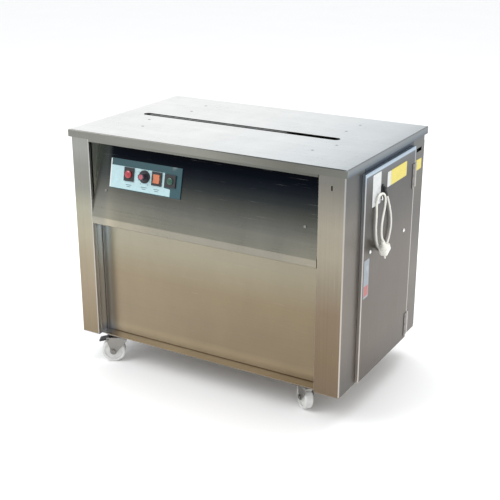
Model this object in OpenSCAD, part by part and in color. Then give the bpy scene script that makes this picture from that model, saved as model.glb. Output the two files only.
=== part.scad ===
// Semi-automatic strapping machine: a stainless cabinet on four casters, with a strapping
// head, drive and strap reel inside. X runs left to right, Y front to back, Z up from the floor.

/* [Table] */
// Width of the table top, left to right
table_w = 900; // [820:10:1080]
// Depth of the table top, front to back
table_d = 566; // [540:2:680]
// Height of the table surface above the floor
table_h = 745; // [740:5:895]
// Thickness of the table sheet
table_t = 2; // [1.5:0.5:3]
// Height of the table's folded edge
table_edge = 22; // [18:1:30]
// How far the table stands out past the cabinet, on every side
overhang = 6; // [5:1:10]
// Distance from the table's left edge to the strap slot
slot_left_margin = 72; // [60:1:120]
// Distance from the table's right edge to the strap slot
slot_right_margin = 155; // [150:1:200]
// Width of the strap slot
slot_w = 28; // [14:1:32]

/* [Cabinet] */
// Thickness of the cabinet's folded sheet
sheet = 1.5; // [1:0.25:2]
// Outside radius of a fold
fold_r = 3; // [2.5:0.5:4]
// Width of the front left post's face
left_post_w = 62; // [50:1:80]
// Width of the front right post's face
right_post_w = 78; // [60:1:90]
// How far the front posts reach back along the sides
front_post_d = 120; // [110:1:130]
// How far the rear posts reach forward along the sides
rear_post_d = 90; // [80:1:100]
// Depth of the return on each front post
post_lip = 12; // [8:1:14]
// Step of the rebate behind that return
rebate = 6; // [4:1:8]
// How far the lower front panel is set back from the posts
panel_setback = 50; // [40:1:60]
// Height of the front top rail's visible face
rail_h = 30; // [26:1:40]
// Height of the lower front panel's top edge above the floor
panel_top = 463; // [430:1:480]

/* [Control panel] */
// Height of the upright flange under the sloping fascia
fascia_flange = 23; // [15:1:30]
// Width of the control plate
plate_w = 250; // [240:1:270]
// Height of the control plate
plate_h = 88; // [80:1:100]
// Thickness of the control plate
plate_t = 3; // [2:0.5:4]
// Distance from the left post to the control plate
plate_inset = 56; // [40:1:80]
// Distance up the slope from the fascia's fold to the plate
plate_rise = 96; // [90:1:100]
// Diameter of the red push button's cap
red_d = 22; // [18:1:26]
// Diameter of the strap length knob
knob_d = 20; // [16:1:28]
// Travel of the push buttons
button_travel = 4; // [3:0.5:5]

/* [Door] */
// Lap of the side door over the front post
door_lap = 18; // [8:1:25]
// Depth of the door's folded edge
door_depth = 11; // [10:0.5:12]
// Gap between the door and the table's folded edge
door_top_gap = 15; // [12:1:20]
// Gap under the door
door_foot_gap = 4; // [3:1:8]
// Length of a hinge
hinge_len = 74; // [60:1:80]
// Diameter of a hinge's knuckle
knuckle_d = 11; // [9:0.5:12]

/* [Casters] */
// Height of a caster, floor to plate
caster_h = 96; // [94:1:104]
// Diameter of a caster's wheel
wheel_d = 75; // [70:1:76]
// Width of a caster's wheel
wheel_w = 25; // [20:1:28]
// How far a wheel's axle trails its swivel
trail = 28; // [22:1:30]
// Distance from the cabinet's sides to a caster's swivel
caster_in_x = 115; // [90:1:140]
// Distance from the cabinet's front and back to a caster's swivel
caster_in_y = 48; // [46:1:70]

/* [Strapping head] */
// Length of the slot's open part over the head
head_slot = 162; // [150:1:170]
// Diameter of the camshaft
cam_shaft_d = 16; // [12:1:20]
// Largest radius of the cams
cam_r = 24; // [20:1:26]
// Diameter of the feed roller
feed_d = 56; // [50:1:60]
// Diameter of the pinch roller
pinch_d = 36; // [30:1:40]
// Diameter of the motor
motor_d = 120; // [100:1:125]
// Diameter of the motor's pulley
small_pulley_d = 50; // [40:1:60]
// Diameter of the gearbox's pulley
large_pulley_d = 100; // [80:1:110]

/* [Reel] */
// Diameter of the reel's flanges
reel_d = 380; // [340:5:385]
// Diameter of the reel's drum
drum_d = 200; // [180:5:210]
// Space between the reel's flanges
reel_w = 180; // [160:5:190]
// Diameter of the reel's spindle
spindle_d = 20; // [16:1:24]

/* [Power lead] */
// Diameter of the mains lead
cord_d = 6; // [5:0.5:7]

/* [Hidden] */
$fn = 48;
e = 0.01;                       // cuts run this far past a face
run_gap = 0.08;                 // radial gap of a shaft in its bore
slide_gap = 0.3;                // gap between surfaces that slide or stand close
bend_steps = 4;                 // facets in the quarter turn of a fold

caster_turn = [210, 138, 160, 205];   // resting direction in which each wheel trails

// Cabinet planes
side_x = table_w / 2 - overhang;
face_y = -(table_d / 2 - overhang);
back_y = table_d / 2 - overhang;
base_z = caster_h;
roof_z = table_h - table_t;
edge_z = table_h - table_edge;
pan_t = 2;
floor_z = base_z + pan_t;
left_post_x = -side_x + left_post_w;     // inner edge of the left post's face
right_post_x = side_x - right_post_w;    // inner edge of the right post's face
recess_y = face_y + panel_setback;
front_post_y = face_y + front_post_d;
rear_post_y = back_y - rear_post_d;
rear_frame_y = back_y - sheet;           // outer face of the rear posts, inside the rear cover
rail_z = roof_z - rail_h;
rail_d = panel_setback + 6;              // its flange closes the recess from above
side_rail_h = roof_z - edge_z + 5;
beam_y = 130;
beam_w = 25;
beam_h = 40;
beam_top = roof_z - side_rail_h;
beam_x = side_x - sheet;                 // the beams butt against the side rails

// Strap slot, and the head under its right end
slot_x0 = -table_w / 2 + slot_left_margin;
slot_x1 = table_w / 2 - slot_right_margin;
head_x0 = slot_x1 - head_slot;
channel_h = 14;
head_wall = 12;
head_l = head_slot + 28;
head_mid = (head_x0 + slot_x1) / 2;
head_left = head_mid - head_l / 2;
head_right = head_mid + head_l / 2;
head_half = 60;                          // half the head's depth
anvil_z = roof_z - 10;                   // top of the head's end walls, under the slide plate
head_top = anvil_z - 5;
head_foot = roof_z - 168;
cam_z = roof_z - 133;
web_z = cam_z + cam_r + 26;              // guide web that the grippers slide in
web_t = 25;
plunger_z = cam_z + cam_r + slide_gap;
plunger_top = head_top - 6;
plunger_travel = 5;
plunger_pitch = 50;
plunger_w = 28;
plunger_d = 30;
slide_travel = 20;
slide_t = 4.7;
heater_travel = 30;
blade_t = 1.2;

// Feed rollers, right of the head
lug_y = 20;
lug_t = 6;
feed_x = head_right + 40;
feed_z = head_foot + 65;
feed_axle_d = 10;
pinch_z = feed_z + feed_d / 2 + pinch_d / 2 + 0.6;
arm_x = feed_x - 26;
arm_z = pinch_z + 20;
arm_pin_d = 8;

// Gearbox, motor and belt, left of the head
gear_x = head_left - 55;
gear_z = cam_z + 32;
gear_half = 45;
belt_y = -68;
belt_w = 10;
belt_t = 6;
motor_x = gear_x - 195;
motor_z = beam_top - beam_h - 9 - motor_d / 2;
motor_l = 170;
motor_y = -55;                           // front end of the motor
shaft_d = 14;

// Reel, right of the middle
reel_x = side_x - 19 - reel_d / 2;
reel_z = floor_z + 10 + reel_d / 2;
flange_t = 4;
flange_y = reel_w / 2 + flange_t;
bracket_y = flange_y + 14;
bracket_t = 3;
brake_pivot = [reel_x - 100, floor_z + 40];
brake_pin_d = 10;

// Door and hinges
door_x = side_x + 0.5;                   // inner edge of the door's folds
door_face_x = door_x + door_depth;
hinge_y = rear_post_y;
hinge_x = door_face_x - 4.5;
door_y1 = hinge_y - 7;
door_y0 = front_post_y - door_lap;
door_w = door_y1 - door_y0;
door_z0 = base_z + door_foot_gap;
door_z1 = edge_z - door_top_gap;
hinge_z = [door_z0 + 49, door_z1 - 87];
hinge_t = 2;
hinge_pin_d = 5;
outlet_y = -60;                          // cord outlet on the door
outlet_z = 643;
outlet_dir = [0, 0.6, -0.8];
sleeve_l = 30;
hook_at = [-89, 614];                    // middle of the lead's hook on the door, y and z
hook_r = 16.4;
hook_wire = 4;

// Sloping fascia: it leans back from its fold to the front top rail
slope_y0 = face_y;
slope_z0 = panel_top + fascia_flange;
slope_run = panel_setback - 1;
slope_rise = rail_z - slope_z0;
slope_a = atan(slope_run / slope_rise);
slope_len = norm([slope_run, slope_rise]);
plate_x = left_post_x + plate_inset + plate_w / 2;
plate_s = plate_rise + plate_h / 2;
red_x = plate_x - 56;
knob_x = plate_x - 2;
rocker_x = plate_x + 42;
green_x = plate_x + 89;
row_s = plate_s + 3;                     // the row of switches, up the slope
rocker_size = [26, 30];
bezel_size = [34, 40];

// Power lead: centre line from the outlet's sleeve to the plug, x measured from the door's face.
// It hangs in a long loop in front of the door, turns over its hook and comes down to the plug.
cord_path = [
    [5.5, -42, 619], [5.5, -35, 608], [5.5, -28, 596], [5.5, -21, 584], [5.5, -15, 571],
    [5.5, -9, 558], [5.5, -5, 544], [5.5, -3, 530], [5.5, -4, 516], [5.5, -8, 502],
    [5.5, -14, 489], [5.5, -22, 477], [5.5, -33, 468], [5.5, -46, 463], [5.5, -60, 464],
    [5.5, -73, 470], [5.5, -84, 479], [5.5, -93, 490], [5.5, -100, 503], [5.5, -105, 516],
    [5.5, -108, 530], [5.5, -110, 545], [5.5, -110, 563], [5.5, -110, 582], [5.5, -111, 600],
    [5.5, -111, 613], [6.5, -108, 625], [7.5, -100, 633], [9.5, -89, 636], [10.5, -78, 633],
    [11.5, -70, 625], [12.5, -68, 613], [14, -73, 600], [15.5, -81, 588], [17, -90, 577],
    [18.5, -98, 565], [20, -105, 552], [21.5, -109, 538], [23, -109, 523], [24.5, -104, 510]];
plug_at = [door_face_x, 0, 0] + cord_path[len(cord_path) - 1];
plug_dir = [0, 0.5, -0.87];

// ---------- helpers ----------

function unit(v) = v / norm(v);
function left_of(v) = [-v[1], v[0]];
function turned(v, a) = [v[0] * cos(a) - v[1] * sin(a), v[0] * sin(a) + v[1] * cos(a)];

// Points of one fold at a corner p of a folded sheet's middle line, off to its left by s.
function fold_points(a, p, b, r, s) = let(
    d1 = unit(p - a), d2 = unit(b - p),
    turn = atan2(d1[0] * d2[1] - d1[1] * d2[0], d1 * d2),
    side = sign(turn),
    start = p - d1 * r * tan(abs(turn) / 2),
    centre = start + side * r * left_of(d1),
    arm = (start - centre) * (r - side * s) / r)
    [for (k = [0:bend_steps]) centre + turned(arm, turn * k / bend_steps)];

// One side of a folded sheet, s to the left of its middle line.
function folded_side(path, r, s) = let(n = len(path) - 1) concat(
    [path[0] + left_of(unit(path[1] - path[0])) * s],
    [for (i = [1:n - 1]) each fold_points(path[i - 1], path[i], path[i + 1], r, s)],
    [path[n] + left_of(unit(path[n] - path[n - 1])) * s]);

function reversed(v) = [for (i = [len(v) - 1:-1:0]) v[i]];

// Outline of a folded sheet around its middle line.
module folded(path, t = sheet, r = fold_r) {
    middle_r = r - t / 2;
    polygon(concat(folded_side(path, middle_r, t / 2),
                   reversed(folded_side(path, middle_r, -t / 2))));
}

// Box between two corners.
module box(low, high) {
    translate(low) cube(high - low);
}

// Extrusions along X and along Y: the outline is drawn in (y, z) or in (x, z).
module along_x(x0, x1) {
    translate([x0, 0, 0]) rotate([90, 0, 90]) linear_extrude(x1 - x0) children();
}
module along_y(y0, y1) {
    translate([0, y1, 0]) rotate([90, 0, 0]) linear_extrude(y1 - y0) children();
}

// Round bars along X and along Y.
module bar_x(x0, x1, y, z, d) {
    translate([x0, y, z]) rotate([0, 90, 0]) cylinder(d = d, h = x1 - x0);
}
module bar_y(y0, y1, x, z, d) {
    translate([x, y0, z]) rotate([-90, 0, 0]) cylinder(d = d, h = y1 - y0);
}

// A tray: a sheet of size x by y whose edges fold down by depth, face up at z = 0.
module tray_solid(size, depth, r) {
    intersection() {
        along_x(-size[0] / 2, size[0] / 2) tray_profile(size[1], depth, r);
        along_y(-size[1] / 2, size[1] / 2) tray_profile(size[0], depth, r);
    }
}
module tray_profile(w, depth, r) {
    polygon(concat(
        [[-w / 2, -depth]],
        [for (k = [0:bend_steps]) [-w / 2 + r, -r] + r * [-cos(90 * k / bend_steps), sin(90 * k / bend_steps)]],
        [for (k = [0:bend_steps]) [w / 2 - r, -r] + r * [sin(90 * k / bend_steps), cos(90 * k / bend_steps)]],
        [[w / 2, -depth]]));
}
module rounded_rectangle(w, h, r) {
    square([w - 2 * r, h], center = true);
    square([w, h - 2 * r], center = true);
    for (x = [-1, 1], y = [-1, 1]) translate([x * (w / 2 - r), y * (h / 2 - r)]) circle(r = r);
}

module tray(size, depth, t, r) {
    difference() {
        tray_solid(size, depth, r);
        translate([0, 0, -t])
            tray_solid(size - [2 * t, 2 * t], depth, max(r - t, 0.5));
    }
}

// Places children on the fascia: x across, s up the slope, with local z pointing out of it.
module on_fascia(x, s) {
    translate([x, slope_y0 + s * sin(slope_a), slope_z0 + s * cos(slope_a)])
        rotate([90 - slope_a, 0, 0]) children();
}

// Tube of sides facets swept along a route.
function sweep_ring(p, dir, r, sides) = let(
    ref = abs(dir[0]) < 0.9 ? [1, 0, 0] : [0, 1, 0],
    u = unit(cross(dir, ref)), v = cross(dir, u))
    [for (k = [0:sides - 1]) p + r * (u * cos(360 * k / sides) + v * sin(360 * k / sides))];
module tube(path, d, sides = 10) {
    n = len(path);
    rings = [for (i = [0:n - 1])
        sweep_ring(path[i], unit(path[min(i + 1, n - 1)] - path[max(i - 1, 0)]), d / 2, sides)];
    polyhedron(
        points = [for (ring = rings) each ring],
        faces = concat(
            [[for (k = [0:sides - 1]) k]],
            [for (i = [0:n - 2], k = [0:sides - 1])
                [i * sides + k, (i + 1) * sides + k,
                 (i + 1) * sides + (k + 1) % sides, i * sides + (k + 1) % sides]],
            [[for (k = [sides - 1:-1:0]) (n - 1) * sides + k]]));
}

// ---------- cabinet ----------

module base_pan() {
    color("gray") difference() {
        box([-side_x, face_y, base_z], [side_x, rear_frame_y, floor_z]);
        box([left_post_x, face_y - 1, base_z - 1], [right_post_x, face_y + 15, floor_z + 1]);
    }
}

base_rail_h = 30;
base_rail_w = 40;

module base_rails() {
    m = sheet / 2;
    w = base_rail_w / 2;
    color("gray")
    for (y = [recess_y + 26 + w, back_y - caster_in_y])
        along_x(-side_x + 30, side_x - 30)
            folded([[y - w - 10, floor_z + m], [y - w, floor_z + m], [y - w, floor_z + base_rail_h],
                    [y + w, floor_z + base_rail_h], [y + w, floor_z + m], [y + w + 10, floor_z + m]]);
}

// Plan of a front post with its outer corner at x = 0 and a face w wide.
module front_post_plan(w) {
    m = sheet / 2;
    inner = w - rebate;
    folded([[inner - m, recess_y + 14], [inner - m, face_y + post_lip - m],
            [w - m, face_y + post_lip - m], [w - m, face_y + m], [m, face_y + m],
            [m, front_post_y - m], [25, front_post_y - m]]);
}

// Plan of a rear post with its side at x = 0.
module rear_post_plan() {
    m = sheet / 2;
    folded([[25, rear_post_y + m], [m, rear_post_y + m], [m, rear_frame_y - m],
            [60, rear_frame_y - m]]);
}

module post(right) {
    translate([right ? side_x : -side_x, 0, floor_z])
        mirror([right ? 1 : 0, 0, 0])
            linear_extrude(roof_z - floor_z) children();
}

module front_left_post() {
    color("lightgray") post(false) front_post_plan(left_post_w);
}

module front_right_post() {
    color("lightgray") difference() {
        post(true) front_post_plan(right_post_w);
        box([right_post_x + 37, face_y - 1, edge_z - 39], [right_post_x + 41, face_y + 5, edge_z - 26]);
    }
}

module rear_left_post() {
    color("lightgray") post(false) rear_post_plan();
}

// The right rear post has a finger slot high up on its side.
module rear_right_post() {
    color("lightgray") difference() {
        post(true) rear_post_plan();
        box([side_x - 5, rear_post_y + 27, edge_z - 45], [side_x + 1, rear_post_y + 66, edge_z - 34]);
    }
}

// Four rails join the tops of the posts: a channel in front, angles on the other sides.
module top_rails() {
    m = sheet / 2;
    low = edge_z - 22;
    color("lightgray") {
        along_x(left_post_x, right_post_x)
            folded([[face_y + rail_d, rail_z + m], [face_y + m, rail_z + m],
                    [face_y + m, roof_z - m], [face_y + 25, roof_z - m]]);
        along_x(-side_x + 62, side_x - 62)
            folded([[rear_frame_y - m, low], [rear_frame_y - m, roof_z - m],
                    [rear_frame_y - 25, roof_z - m]]);
        for (k = [0, 1]) mirror([k, 0, 0])
            along_y(front_post_y, rear_post_y)
                folded([[side_x - m, low], [side_x - m, roof_z - m], [side_x - 25, roof_z - m]]);
    }
}

module slot_outline(w) {
    translate([slot_x0 + w / 2, 0]) circle(d = w);
    translate([slot_x1 - w / 2, 0]) circle(d = w);
    translate([slot_x0 + w / 2, -w / 2]) square([slot_x1 - slot_x0 - w, w]);
}

table_screw_at = [[-14, -144], [20, -63], [-27, 99], [-23, 190]];
table_screw_d = 9;

// The heads of the table's screws are let in flush.
module at_table_screws() {
    for (p = table_screw_at, k = [-1, 1]) translate([k * (slot_x1 + p[0]), p[1], table_h]) children();
}

module table_top() {
    color("whitesmoke") difference() {
        translate([0, 0, table_h]) tray([table_w, table_d], table_edge, table_t, fold_r);
        translate([0, 0, roof_z - 1]) linear_extrude(table_t + 2) slot_outline(slot_w);
        at_table_screws() translate([0, 0, -1]) cylinder(d = table_screw_d + 0.2, h = 2);
    }
}

// Shallow channel under the slot, left of the head.
module strap_channel() {
    m = sheet / 2;
    w = slot_w / 2 + 1 + m;
    color("gray") along_x(slot_x0 - 12, head_left - 1)
        folded([[-w - 16, roof_z - m], [-w, roof_z - m], [-w, roof_z - channel_h + m],
                [w, roof_z - channel_h + m], [w, roof_z - m], [w + 16, roof_z - m]]);
}

// ---------- front ----------

fascia_x0 = left_post_x + slide_gap;
fascia_x1 = right_post_x - slide_gap;

module fascia_sheet() {
    m = sheet / 2;
    fold_z = slope_z0 - m * tan(slope_a / 2);
    run = (rail_z - m - slope_z0 + m * sin(slope_a)) / cos(slope_a);
    top_y = slope_y0 + m * cos(slope_a) + run * sin(slope_a);
    along_x(fascia_x0, fascia_x1)
        folded([[top_y + 16, rail_z - m], [top_y, rail_z - m], [face_y + m, fold_z],
                [face_y + m, panel_top + m], [recess_y + 6, panel_top + m]]);
}

// Triangle that closes each end of the sloping fascia, behind the post's return.
module cheek() {
    y0 = face_y + post_lip + 2;
    rise = (y0 - face_y) / tan(slope_a);
    polygon([[y0, rail_z], [slope_y0 + slope_run + 2, rail_z], [y0 + 2, slope_z0 + rise],
             [y0, slope_z0 + rise]]);
}

module control_panel() {
    color("silver") {
        difference() {
            fascia_sheet();
            on_fascia(red_x, row_s) cylinder(d = red_d + 8, h = 20, center = true);
            on_fascia(knob_x, row_s) cylinder(d = 14, h = 20, center = true);
            on_fascia(rocker_x, row_s) cube([rocker_size[0] + 2, rocker_size[1] + 2, 20], center = true);
            on_fascia(green_x, row_s) cylinder(d = 28, h = 20, center = true);
        }
        along_x(fascia_x0, fascia_x0 + sheet) cheek();
        along_x(fascia_x1 - sheet, fascia_x1) cheek();
    }
}

module lower_front_panel() {
    w = right_post_x - left_post_x + 2 * (rebate - slide_gap);
    h = panel_top - 7 - floor_z;
    color("tan") {
        translate([(left_post_x + right_post_x) / 2, recess_y, floor_z + h / 2])
            rotate([90, 0, 0]) tray([w, h], 12, sheet, fold_r);
        for (x = [left_post_x - rebate, right_post_x + rebate - 5])
            box([x, face_y + 21, floor_z], [x + 5, face_y + 37, panel_top - 7]);
    }
}

module left_side_panel() {
    w = rear_post_y - front_post_y + 30;
    h = door_z1 - door_z0;
    color("tan") translate([-side_x - 6, (rear_post_y + front_post_y) / 2, (door_z0 + door_z1) / 2])
        rotate([90, 0, -90]) tray([w, h], 6, sheet, 2.5);
}

// Rear cover: a flat sheet with rounded corners, screwed on the backs of the rear posts.
module rear_panel() {
    h = edge_z - 17 - floor_z;
    color("tan") translate([0, back_y, floor_z + h / 2]) rotate([90, 0, 0]) linear_extrude(sheet)
        rounded_rectangle(2 * side_x - 1, h, 5);
}

// ---------- fasteners ----------

module dome(d, h) {
    intersection() {
        translate([0, 0, -(d * d / 4 - h * h) / (2 * h)])
            sphere(r = (d * d / 4 + h * h) / (2 * h), $fn = 32);
        cylinder(d = d + 1, h = h);
    }
}

module pan_head(d = 8, h = 2.4) {
    difference() {
        cylinder(d = d, h = h);
        for (a = [0, 90]) rotate(a) translate([0, 0, h]) cube([d * 0.6, 1.2, h], center = true);
    }
}

module screws() {
    color("silver") {
        at_table_screws() translate([0, 0, -1]) pan_head(table_screw_d, 1);
        for (x = [left_post_x + 44, right_post_x - 44])
            on_fascia(x, 84) pan_head(7);
        for (x = [-1, 1] * (side_x - 40), z = [0.12, 0.5, 0.88])
            translate([x, back_y, floor_z + z * (edge_z - 17 - floor_z)]) rotate([-90, 0, 0]) pan_head();
        for (y = [front_post_y - 5, rear_post_y + 5], z = [0.1, 0.5, 0.9])
            translate([-side_x - 6, y, door_z0 + z * (door_z1 - door_z0)]) rotate([0, -90, 0]) pan_head();
    }
}

// ---------- controls ----------

module control_plate() {
    color("teal") on_fascia(0, 0) difference() {
        translate([plate_x, plate_s, plate_t / 2]) cube([plate_w, plate_h, plate_t], center = true);
        translate([red_x, row_s, -1]) cylinder(d = red_d + 8, h = plate_t + 2);
        translate([knob_x, row_s, -1]) cylinder(d = 14, h = plate_t + 2);
        translate([rocker_x, row_s, plate_t / 2])
            cube([rocker_size[0] + 2, rocker_size[1] + 2, plate_t + 2], center = true);
        translate([green_x, row_s, -1]) cylinder(d = 28, h = plate_t + 2);
    }
}

module push_switch(bezel, cap_d, barrel_d) {
    difference() {
        union() {
            translate([0, 0, plate_t + 2]) cube([bezel[0], bezel[1], 4], center = true);
            translate([0, 0, -20]) cylinder(d = barrel_d, h = 20 + plate_t + 1);
            translate([0, 0, -30]) cube([24, 24, 21], center = true);
        }
        translate([0, 0, -9]) cylinder(d = cap_d + 2 * slide_gap, h = 30);
    }
}

dial_d = 38;
rocker_t = 8;

module switch_bodies() {
    color([0.1, 0.1, 0.12]) {
        on_fascia(red_x, row_s) push_switch(bezel_size, red_d, red_d + 7);
        on_fascia(green_x, row_s) push_switch([36, 36], 20, 27);
        on_fascia(knob_x, row_s) difference() {
            union() {
                translate([0, 0, plate_t]) cylinder(d = dial_d, h = 2.5);
                translate([0, 0, -18]) cylinder(d = 13, h = 18 + plate_t + 1);
                translate([0, 0, -22]) cylinder(d = 26, h = 10);
            }
            translate([0, 0, -12]) cylinder(d = 6 + 2 * run_gap, h = 40);
        }
        on_fascia(rocker_x, row_s) difference() {
            union() {
                translate([0, 0, plate_t + 2]) cube([bezel_size[0], bezel_size[1], 4], center = true);
                translate([0, 0, -11]) cube([rocker_size[0] + 1, rocker_size[1] + 1, 26], center = true);
            }
            translate([0, 0, 3]) cube([rocker_size[0] - 4, rocker_size[1] - 2, 30], center = true);
        }
    }
}

module red_button() {
    color("crimson") on_fascia(red_x, row_s) {
        translate([0, 0, -2]) cylinder(d = red_d, h = plate_t + 10);
        translate([0, 0, plate_t + 8]) dome(red_d, 2);
    }
}

module green_button() {
    color("darkgreen") on_fascia(green_x, row_s) {
        translate([0, 0, -2]) cylinder(d = 20, h = plate_t + 8);
        translate([0, 0, plate_t + 6]) dome(20, 1.5);
    }
}

module length_knob() {
    color("indianred") on_fascia(knob_x, row_s) {
        difference() {
            translate([0, 0, plate_t + 3]) cylinder(d = knob_d, h = 17);
            for (a = [0:30:359]) rotate(a) translate([knob_d / 2 + 0.6, 0, plate_t + 6]) cylinder(d = 2.4, h = 20);
            translate([-0.6, 2, plate_t + 19]) cube([1.2, knob_d / 2, 2]);
        }
        translate([0, 0, plate_t + 2.7]) cylinder(d = knob_d + 6, h = 2);
        translate([0, 0, -11]) cylinder(d = 6, h = 18);
    }
}

// Rocker: a shallow vee that tips about a pin across its middle.
module power_rocker() {
    l = rocker_size[1] - 2 - 2 * slide_gap;
    w = rocker_size[0] - 4 - 2 * slide_gap;
    color("orangered") on_fascia(rocker_x, row_s)
        translate([-w / 2, 0, plate_t + 1]) rotate([90, 0, 90]) linear_extrude(w)
            polygon([[-l / 2 + 1, 5.5], [0, 3.5], [l / 2 - 1, 5.5], [l / 2 - 1.5, -2], [3, -7], [-3, -7],
                     [-l / 2 + 1.5, -2]]);
}

// ---------- door ----------

module door_panel() {
    h = door_z1 - door_z0;
    color("silver") difference() {
        translate([door_face_x, (door_y0 + door_y1) / 2, (door_z0 + door_z1) / 2])
            rotate([90, 0, 90]) tray([door_w, h], door_depth, sheet, fold_r);
        bar_x(door_x, door_face_x + 1, outlet_y, outlet_z, 12);
    }
}

// One leaf of a hinge. Its knuckle is made of five segments; each leaf carries every other one.
leaf_w = 24;
segment_gap = 0.15;

module knuckles(first) {
    seg = hinge_len / 5;
    for (k = [first:2:4])
        translate([hinge_x, hinge_y, -hinge_len / 2 + k * seg + segment_gap])
            cylinder(d = knuckle_d, h = seg - 2 * segment_gap);
}

module hinge_post_leaves() {
    color([0.25, 0.24, 0.22])
    for (z = hinge_z) translate([0, 0, z]) {
        difference() {
            union() {
                knuckles(0);
                box([side_x, hinge_y + 4, -hinge_len / 2], [side_x + hinge_t, hinge_y + leaf_w, hinge_len / 2]);
                for (k = [0:2:4])
                    box([side_x, hinge_y, -hinge_len / 2 + (k / 5) * hinge_len + segment_gap],
                        [side_x + hinge_t + 1, hinge_y + 5, -hinge_len / 2 + ((k + 1) / 5) * hinge_len - segment_gap]);
            }
            translate([hinge_x, hinge_y, -hinge_len]) cylinder(d = hinge_pin_d, h = 2 * hinge_len);
        }
        translate([hinge_x, hinge_y, -hinge_len / 2 - 1]) cylinder(d = hinge_pin_d, h = hinge_len + 2);
        for (k = [-1, 0, 1]) translate([side_x + hinge_t, hinge_y + 15, k * hinge_len * 0.33])
            rotate([0, 90, 0]) cylinder(d1 = 7, d2 = 5, h = 1);
    }
}

module hinge_door_leaves() {
    x0 = door_face_x;
    color([0.25, 0.24, 0.22])
    for (z = hinge_z) translate([0, 0, z]) {
        difference() {
            union() {
                knuckles(1);
                box([x0, door_y1 - leaf_w + 2, -hinge_len / 2], [x0 + 1.5, door_y1 - 0.5, hinge_len / 2]);
                for (k = [1, 3])
                    box([x0 - 1, door_y1 + 0.3, -hinge_len / 2 + (k / 5) * hinge_len + segment_gap],
                        [x0 + 1, hinge_y - 1, -hinge_len / 2 + ((k + 1) / 5) * hinge_len - segment_gap]);
                for (k = [1, 3])
                    box([x0, door_y1 - 2, -hinge_len / 2 + (k / 5) * hinge_len + segment_gap],
                        [x0 + 1, hinge_y - 1, -hinge_len / 2 + ((k + 1) / 5) * hinge_len - segment_gap]);
            }
            translate([hinge_x, hinge_y, -hinge_len]) cylinder(d = hinge_pin_d + 2 * run_gap, h = 2 * hinge_len);
        }
        for (k = [-1, 0, 1]) translate([x0 + 1.5, door_y1 - 13, k * hinge_len * 0.33])
            rotate([0, 90, 0]) cylinder(d1 = 7, d2 = 5, h = 1);
    }
}

// Two screws, and the bent wire hook that the lead's upper turn hangs on.
module door_fittings() {
    color("silver") {
        for (p = [[door_y0 + 45, 481], [door_y1 - 67, 470]])
            translate([door_face_x, p[0], p[1]]) rotate([0, 90, 0]) {
                cylinder(d = 12, h = 1);
                translate([0, 0, 1]) dome(10, 3);
            }
        translate([door_face_x + 5.5, hook_at[0], hook_at[1]]) rotate([90, 0, 90]) {
            rotate_extrude(angle = 180) translate([hook_r, 0]) circle(d = hook_wire, $fn = 16);
            for (k = [-1, 1]) translate([k * hook_r, 0, 0]) {
                sphere(d = hook_wire, $fn = 16);
                translate([0, 0, -5.5]) cylinder(d = hook_wire, h = 5.5, $fn = 16);
            }
        }
    }
}

// ---------- power lead ----------

// Tilts local z to the direction v, which lies in the plane of the door.
module along_door(at, v) {
    translate(at) rotate([atan2(-v[1], v[2]), 0, 0]) children();
}

sleeve_top = [door_face_x + 5.5, outlet_y, outlet_z];

module cord_outlet() {
    color([0.12, 0.12, 0.12]) {
        bar_x(door_face_x, door_face_x + 3, outlet_y, outlet_z, 22);
        bar_x(door_x + 4, door_face_x + 4, outlet_y, outlet_z, 11.6);
        translate(sleeve_top) sphere(d = 12, $fn = 32);
        along_door(sleeve_top, outlet_dir) difference() {
            cylinder(d1 = 11, d2 = cord_d + 2.4, h = sleeve_l);
            translate([0, 0, sleeve_l - 1]) cylinder(d = cord_d, h = 2);
        }
    }
}

module power_cord() {
    color("white") translate([door_face_x, 0, 0]) tube(cord_path, cord_d, 10);
}

plug_l = 38;

module plug() {
    color("ivory") along_door(plug_at + 0.8 * plug_dir, plug_dir) {
        cylinder(d1 = cord_d + 3, d2 = 14, h = 20);
        translate([0, 0, 20]) cylinder(d1 = 18, d2 = 26, h = 6);
        translate([0, 0, 26]) intersection() {
            cylinder(d = 36, h = plug_l - 20);
            translate([-11, -17, 0]) cube([22, 34, plug_l]);
        }
        for (k = [-1, 1]) translate([0, k * 9.5, 26 + plug_l - 20]) {
            cylinder(d = 4.8, h = 17);
            translate([0, 0, 17]) dome(4.8, 2);
        }
    }
}

// ---------- casters ----------

module at_caster(i) {
    sx = (i == 0 || i == 2) ? -1 : 1;
    sy = (i < 2) ? -1 : 1;
    translate([sx * (side_x - caster_in_x), sy * (back_y - caster_in_y), 0])
        rotate(caster_turn[i]) children();
}

leg_gap = 1.5;
leg_t = 2.5;
axle_z = wheel_d / 2;
crown_z = wheel_d + 4;
leg_out = wheel_w / 2 + leg_gap + leg_t;

module caster_plates() {
    color("dimgray")
    for (i = [0:3]) at_caster(i) {
        rotate(-caster_turn[i]) difference() {
            translate([-38, -30, base_z - 3]) cube([76, 60, 3]);
            for (x = [-28, 28], y = [-20, 20]) translate([x, y, base_z - 4]) cylinder(d = 8.5, h = 6);
        }
        rotate(-caster_turn[i]) for (x = [-28, 28], y = [-20, 20])
            translate([x, y, base_z - 7]) cylinder(d = 13, h = 4.5, $fn = 6);
        translate([0, 0, crown_z + 7]) cylinder(d1 = 42, d2 = 46, h = base_z - 2.5 - crown_z - 7);
        translate([0, 0, crown_z - 3.5]) cylinder(d = 10, h = 12);
        translate([0, 0, crown_z - 5]) cylinder(d = 14, h = 4.4, $fn = 24);
    }
}

module fork_leg() {
    difference() {
        rotate([90, 0, 0]) linear_extrude(leg_t) difference() {
            union() {
                polygon([[-18, crown_z + 5], [-14, crown_z - 8], [trail - 9, axle_z - 4], [trail + 9, axle_z - 4],
                         [trail + 11, axle_z + 12], [trail + 20, wheel_d - 2], [trail + 20, crown_z + 5]]);
                translate([trail, axle_z]) circle(r = 11);
            }
        }
    }
}

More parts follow.
